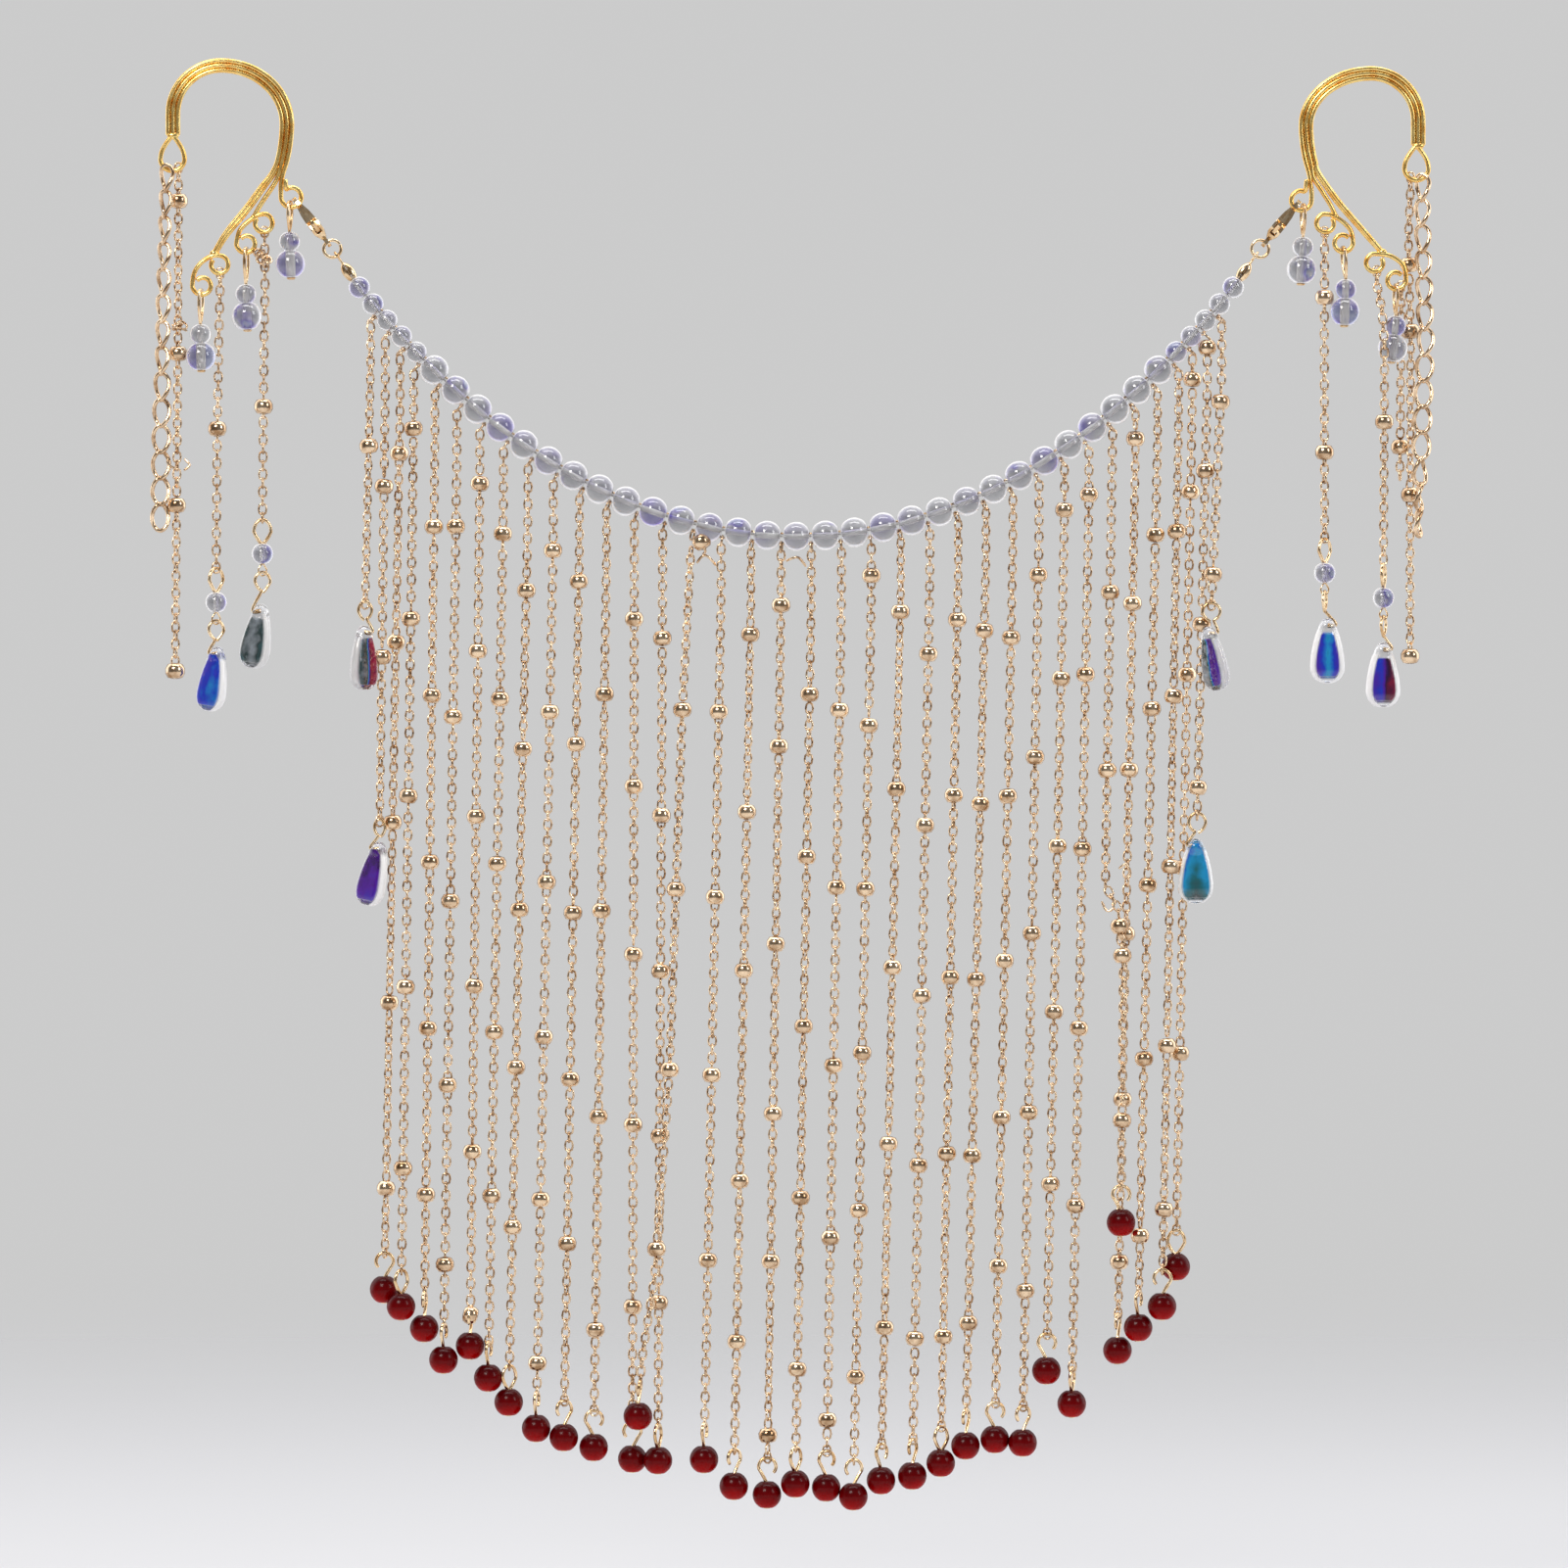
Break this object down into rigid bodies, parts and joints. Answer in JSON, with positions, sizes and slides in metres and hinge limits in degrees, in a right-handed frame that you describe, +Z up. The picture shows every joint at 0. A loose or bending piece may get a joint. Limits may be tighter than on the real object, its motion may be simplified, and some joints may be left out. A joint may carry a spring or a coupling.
{
  "type": "face veil",
  "caption": "Face jewel: a glass bead string hung between two gold wire ear hooks, with a fringe of fine satellite chains ending in red beads and glass teardrops.",
  "frame": {"origin": "midway between the two ears, level with the seats of the ear hooks, in the picture plane of the bead string", "axes": "+Z up as worn, +X to the right seen from the front, the front faces -Y"},
  "size_m": [0.2868, 0.0114, 0.3258],
  "materials": {
    "clear_glass": "clear faceted-looking round glass with a violet and blue lustre",
    "champagne_chain": "bright champagne gold plate",
    "yellow_gold_wire": "bright yellow gold plate",
    "pale_gold_findings": "bright pale gold plate",
    "red_glass": "deep translucent red, polished",
    "teardrop_glass": "clear rim with a blue, teal and violet core"
  },
  "bodies": {
    "root": {"bead_string": "clear_glass", "strand_02": "champagne_chain", "strand_03": "champagne_chain", "strand_04": "champagne_chain", "strand_05": "champagne_chain", "strand_06": "champagne_chain", "strand_07": "champagne_chain", "strand_08": "champagne_chain", "strand_09": "champagne_chain", "strand_10": "champagne_chain", "strand_11": "champagne_chain", "strand_12": "champagne_chain", "strand_13": "champagne_chain", "strand_14": "champagne_chain", "strand_15": "champagne_chain", "strand_16": "champagne_chain", "strand_17": "champagne_chain", "strand_18": "champagne_chain", "strand_19": "champagne_chain", "strand_20": "champagne_chain", "strand_21": "champagne_chain", "strand_22": "champagne_chain", "strand_23": "champagne_chain", "strand_24": "champagne_chain", "strand_25": "champagne_chain", "strand_26": "champagne_chain", "strand_27": "champagne_chain", "strand_28": "champagne_chain", "strand_29": "champagne_chain", "strand_30": "champagne_chain", "strand_31": "champagne_chain", "strand_32": "champagne_chain", "strand_33": "champagne_chain", "strand_34": "champagne_chain", "strand_35": "champagne_chain", "strand_36": "champagne_chain", "strand_37": "champagne_chain", "ear_hook_left": "yellow_gold_wire", "clasp_left": "pale_gold_findings", "jump_ring_left": "pale_gold_findings", "ear_hook_right": "yellow_gold_wire", "clasp_right": "pale_gold_findings", "jump_ring_right": "pale_gold_findings", "crystal_drop_a_left": "clear_glass", "crystal_drop_c_left": "clear_glass", "crystal_drop_e_left": "clear_glass", "crystal_drop_a_right": "clear_glass", "crystal_drop_c_right": "clear_glass", "crystal_drop_e_right": "clear_glass", "teardrop_chain_b_left": "champagne_chain", "teardrop_chain_d_left": "champagne_chain", "teardrop_chain_b_right": "champagne_chain", "teardrop_chain_d_right": "champagne_chain", "satellite_chain_left": "champagne_chain", "extension_chain_left": "champagne_chain", "satellite_chain_right": "champagne_chain", "extension_chain_right": "champagne_chain", "short_chain_right": "champagne_chain"},
    "lever_left": {"clasp_lever_left": "pale_gold_findings"},
    "lever_right": {"clasp_lever_right": "pale_gold_findings"}
  },
  "joints": [
    {"name": "lever_left_open", "type": "hinge", "parent": "root", "child": "lever_left", "pos_m": [-0.10767, -0.00175, -0.03446], "axis": [-0.7944, 0, -0.6074], "range_deg": [0, 25], "stiffness_Nm_per_rad": 0.002, "springref_deg": -17.19},
    {"name": "lever_right_open", "type": "hinge", "parent": "root", "child": "lever_right", "pos_m": [0.10762, -0.00175, -0.03487], "axis": [-0.7703, 0, 0.6376], "range_deg": [0, 25], "stiffness_Nm_per_rad": 0.002, "springref_deg": -17.19}
  ]
}
